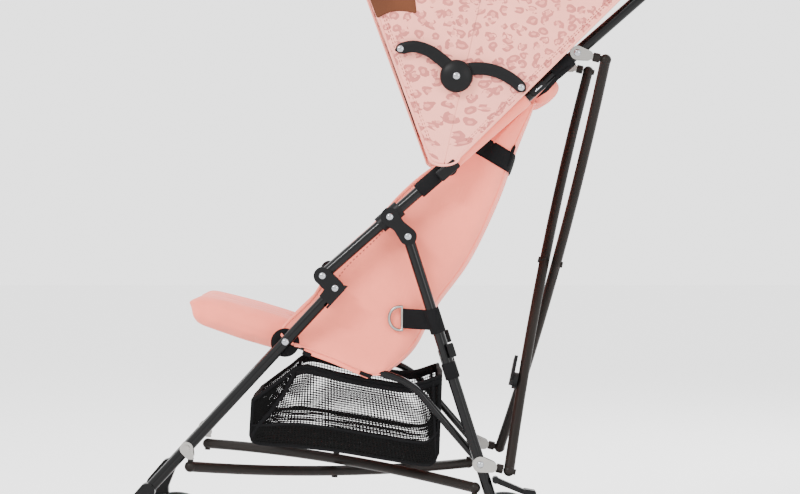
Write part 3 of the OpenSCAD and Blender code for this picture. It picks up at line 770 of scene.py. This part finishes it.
def basket():
    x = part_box("basket")[1][0] - 0.003
    made, extras = [], []
    for side, sx in (("left", 1), ("right", -1)):
        rows = basket_rows(sx * x)
        made.append((net(f"basket_{side}", rows), rows))
        rim = [p + Vector((sx * 0.0015, 0, 0)) for p in rows[0]]
        ring = rim + [row[-1] for row in rows[1:]] + rows[-1][::-1] + [row[0] for row in rows[::-1][1:-1]]
        extras.append(cordlet(f"basket_binding_{side}", ring, 0.0028, "webbing", closed=True))
        band = rim[RIM_DIP:]
        drop = Vector((0, 0, -0.011))
        extras.append(thicken(sheet_grid(f"basket_band_{side}", [band, [p + drop for p in band]], "webbing"),
                              0.002, 0))
        seam = [row[int(RIM_DIP - 18 * (i / BASKET_STEPS) ** 1.3)] + Vector((sx * 0.001, 0, 0))
                for i, row in enumerate(rows)]
        extras.append(cordlet(f"basket_seam_{side}", seam, 0.0030, "webbing"))
        strip = [row[-4] + Vector((sx * 0.001, 0, 0)) for row in rows]
        extras.append(cordlet(f"basket_strip_{side}", strip, 0.0024, "webbing"))
        skirt = basket_rows(sx * (x + 0.0018), 12, 0.006, (0.72, 1.0))
        extras.append(net(f"basket_skirt_{side}", skirt, 0.0021))
        extras.append(cordlet(f"basket_skirt_edge_{side}", skirt[0], 0.0022, "webbing"))
    low = spline([(0, *p) for p in BASKET_LOW], 48)
    front = [Vector((0, *BASKET_TOP[0])).lerp(low[0], i / 9) for i in range(10)]
    back = [low[-1].lerp(Vector((0, *BASKET_TOP[-1])), i / 18) for i in range(19)]
    for name, line, sag in (("floor", low, Vector((0, 0, -0.006))), ("front", front, Vector((0, -0.004, 0))),
                            ("back", back, Vector((0, 0.004, 0)))):
        rows = across_rows(line, x, sag)
        made.append((net(f"basket_{name}", rows), rows))
    for name, line in (("front", front), ("back", back[::-1])):
        hem = [Vector((x - 2 * x * k / 12, line[0].y, line[0].z)) for k in range(13)]
        extras.append(cordlet(f"basket_hem_{name}", hem, 0.0030, "webbing"))
    for number, (obj, rows) in enumerate(made):
        soft(obj, "left_rail", ("basket",) if number == 0 else ())
    for extra in extras:
        soft(extra, "left_rail")


# ---- webbing, sleeves and small trim ----
def wrap(name, centre, angle, width, radius, look, depth=0.0016, body="left_upper", sx=1):
    """A band of webbing round a tube: centre in the side view, angle along the tube."""
    rows = []
    for i in range(7):
        run = width * (i / 6 - 0.5)
        row = []
        for k in range(28):
            turn = 2 * math.pi * k / 28
            p = along(centre, angle, run, radius * math.sin(turn))
            row.append(Vector((sx * HALF + radius * math.cos(turn), *p)))
        rows.append(row)
    obj = thicken(sheet_grid(name, rows, look, closed=True), depth)
    apply_all(obj)
    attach(obj, body)
    return obj


def strap(name, knots, width, look, body, across=(0, 0, 1), depth=0.0016, folding=False):
    """A flat strap along the knots, its width lying along the given direction."""
    middle = spline(knots, 24)
    wide = Vector(across).normalized() * width / 2
    rows = [[p - wide, p - wide * 0.5, p, p + wide * 0.5, p + wide] for p in middle]
    obj = thicken(sheet_grid(name, rows, look), depth)
    if folding:
        return soft(obj, body)
    apply_all(obj)
    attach(obj, body)
    return obj


def block(name, centre, size, look, body, angle=0.0, bevel=0.0018):
    """A small moulded piece with rounded edges, turned in the side view."""
    sx, sy, sz = (s / 2 for s in size)
    points = []
    for x in (-sx, sx):
        for y, z in ((-sy, -sz), (sy, -sz), (sy, sz), (-sy, sz)):
            points.append(Vector((centre[0] + x, *along(centre[1:], angle, y, z))))
    faces = [(3, 2, 1, 0), (4, 5, 6, 7), (0, 1, 5, 4), (1, 2, 6, 5), (2, 3, 7, 6), (3, 0, 4, 7)]
    obj = piece(name, points, faces, look)
    edge = obj.modifiers.new("round", "BEVEL")
    edge.width, edge.segments = bevel, 3
    apply_all(obj)
    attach(obj, body)
    return obj


STUB = math.atan2(*reversed(at_push(0.480) - CROSS)) - math.pi / 2


def rear_point(run, up=0.0):
    return along(HIP, REAR, run, up)


def trim(side, sx):
    """Straps, sleeves and buckles on one side frame."""
    upper, rear = f"{side}_upper", f"{side}_rear"
    face = HALF + TUBE_R
    wrap(f"{side}_tube_sleeve", at_push(0.204), PUSH, 0.046, TUBE_R + 0.0022, "webbing", 0.0022, upper, sx)
    sleeve = wrap(f"{side}_cloth_sleeve", at_push(0.309), PUSH, 0.152, TUBE_R + 0.0030, "pink_fabric", 0.0016,
                  upper, sx)
    block(f"{side}_pivot_cap", (sx * (HALF + 0.0145), *at_push(0.233, -0.004)), (0.012, 0.034, 0.017),
          "black_plastic", upper, PUSH, bevel=0.003)
    wrap(f"{side}_top_sleeve", at_push(0.452), PUSH, 0.034, TUBE_R + 0.0026, "webbing", 0.002, upper, sx)
    wrap(f"{side}_leg_sleeve", rear_point(0.126), REAR, 0.036, TUBE_R + 0.0022, "webbing", 0.002, rear, sx)
    wrap(f"{side}_leg_band", rear_point(0.200), REAR, 0.024, TUBE_R + 0.0018, "webbing", body=rear, sx=sx)
    block(f"{side}_leg_clip", (sx * (face + 0.004), *rear_point(0.172, 0.010)), (0.008, 0.020, 0.010),
          "black_plastic", rear, REAR)
    start, end = KNEE + Vector((0.165, -0.0635)), KNEE + Vector((0.111, -0.0615))
    tail = Vector((sx * (face + 0.003), *start))
    tip = Vector((sx * (SEAT_X + 0.006), *end))
    strap(f"{side}_webbing", [tail, tail.lerp(tip, 0.35), tail.lerp(tip, 0.7), tip], 0.029, "webbing", rear,
          depth=0.002)
    ring = [Vector((sx * (SEAT_X + 0.0075), tip.y + 0.002 - 0.0185 * math.sin(math.pi * k / 20) ** 0.8,
                    tip.z + 0.0170 * math.cos(math.pi * k / 20))) for k in range(21)]
    hoop = cordlet(f"{side}_d_ring", ring, 0.0023, "nickel", closed=True)
    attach(hoop, rear)
    clip = RAIL + Vector((-0.001, -0.002))
    dome(f"{side}_rail_clip", (sx * (HALF - 0.0115), *clip), 0.0205, 0.002, "webbing", f"{side}_front", sx)
    for end, place in (("lower", CROSS), ("upper", at_push(0.480))):
        wrap(f"{side}_{end}_stub_sleeve", along(place, STUB, 0.0285), STUB, 0.010, 0.0058, "matte_black",
             body=f"{side}_knuckle" if end == "lower" else upper, sx=sx)
    low = at_push(0.436, -0.008)
    strap(f"{side}_buckle_strap", [Vector((sx * (face + 0.003), *at_push(0.452, -0.006))),
                                   Vector((sx * (face + 0.001), *low)),
                                   Vector((sx * face, *at_push(0.402, -0.012)))], 0.020, "webbing", upper,
          across=(0, 1, 0.6))
    buckle = at_push(0.405, -0.002)
    block(f"{side}_buckle", (sx * (face + 0.003), *buckle), (0.008, 0.026, 0.011), "black_plastic", upper,
          PUSH)
    block(f"{side}_buckle_pin", (sx * (face + 0.0078), *buckle), (0.002, 0.013, 0.002), "chrome", upper, PUSH,
          0.0006)


def back_band():
    """The elastic band round the backrest, and the rolled flap of cloth above it."""
    rows = seat_rows(SEAT_X + 0.0022)
    a, b = rows[int(STATIONS * 0.84)], rows[int(STATIONS * 0.885)]
    band = thicken(sheet_grid("back_band", [[p + Vector((0, 0.002, -0.002)) for p in a],
                                            [p + Vector((0, 0.002, -0.001)) for p in b]], "webbing"), 0.002)
    soft(band, "left_upper")
    for side, k in (("left", 12), ("right", -13)):
        sx = 1 if side == "left" else -1
        top, foot = rows[int(STATIONS * 0.83)][k], rows[int(STATIONS * 0.895)][k]
        shift = [Vector((sx * 0.002, d, 0)) for d in (-0.004, 0.004)]
        keeper_rows = [[top + shift[0], top + shift[1]], [foot + shift[0], foot + shift[1]]]
        keeper = thicken(sheet_grid(f"band_keeper_{side}", keeper_rows, "webbing"), 0.003)
        soft(keeper, "left_upper")
    roll_rows = []
    for i in range(25):
        x = 0.165 - 0.330 * i / 24
        centre = at_push(0.412, -0.012) + Vector((0.004 * math.sin(i), 0.003 * math.cos(2 * i)))
        tight = min(1.0, 0.12 + 0.9 * math.sqrt(min(i, 24 - i) / 2))
        wide, deep = 0.021 * tight, 0.012 * tight
        roll_rows.append([Vector((x, *along(centre, PUSH, wide * math.cos(t), deep * math.sin(t))))
                          for t in [2 * math.pi * k / 18 for k in range(18)]])
    roll = thicken(sheet_grid("rolled_flap", roll_rows, "pink_fabric", closed=True), 0.002)
    soft(roll, "left_upper")


def harness():
    """Shoulder, lap and crotch straps with a round buckle, lying on the seat."""
    inner = spline([(0, *(p + Vector((-0.010, 0.006)))) for p in BACK_KNOTS], STATIONS)

    def lie(share, x, lift=0.0):
        """A point on the seat's inner side, at a share of the way from its front to its top."""
        at = inner[int(share * (STATIONS - 1))]
        return Vector((x, at.y - lift, at.z))

    hub = lie(0.42, 0.0, 0.045)
    for side, sx in (("left", 1), ("right", -1)):
        shoulder = [lie(0.86, sx * 0.06), lie(0.74, sx * 0.058, 0.008), lie(0.58, sx * 0.045, 0.022),
                    hub + Vector((sx * 0.012, 0, 0.012))]
        strap(f"harness_shoulder_{side}", shoulder, 0.022, "webbing", "left_upper", across=(1, 0, 0),
              folding=True)
        strap(f"harness_lap_{side}", [lie(0.40, sx * 0.135), lie(0.41, sx * 0.08, 0.026),
                                      hub + Vector((sx * 0.014, 0, 0))], 0.022, "webbing", "left_upper",
              across=(0, 0.3, 1), folding=True)
        outline = [Vector(p) for p in ((0, 0), (0.012, 0), (0.012, 0.14), (0, 0.14))]
        pad = slab(f"harness_pad_{side}", outline, 0.026, "pink_fabric", 0.004)
        base = lie(0.66, sx * 0.052, 0.014)
        lean = Vector(BACK_KNOTS[7]) - Vector(BACK_KNOTS[5])
        turn = math.atan2(lean.y, lean.x) - math.pi / 2
        for v in pad.data.vertices:
            y, z = along((base.y, base.z), turn, v.co.y - 0.006, v.co.z - 0.07)
            v.co = Vector((v.co.x + base.x, y, z))
        soft(pad, "left_upper")
    crotch = [lie(0.16, 0.0, -0.004) + Vector((0, 0, 0.012)), lie(0.26, 0.0, 0.012), hub]
    strap("harness_crotch", crotch, 0.024, "webbing", "left_upper", across=(1, 0, 0), folding=True)
    buckle = block("harness_buckle", tuple(hub), (0.050, 0.014, 0.044), "black_plastic", "left_upper",
                   bevel=0.005)
    draw_in(buckle)


camera()
studio()
finish_frame()
canopy()
bow()
spreaders()
seat()
seat_pad()
leg_rest()
basket()
for side_name, sign in (("left", 1), ("right", -1)):
    trim(side_name, sign)
back_band()
harness()
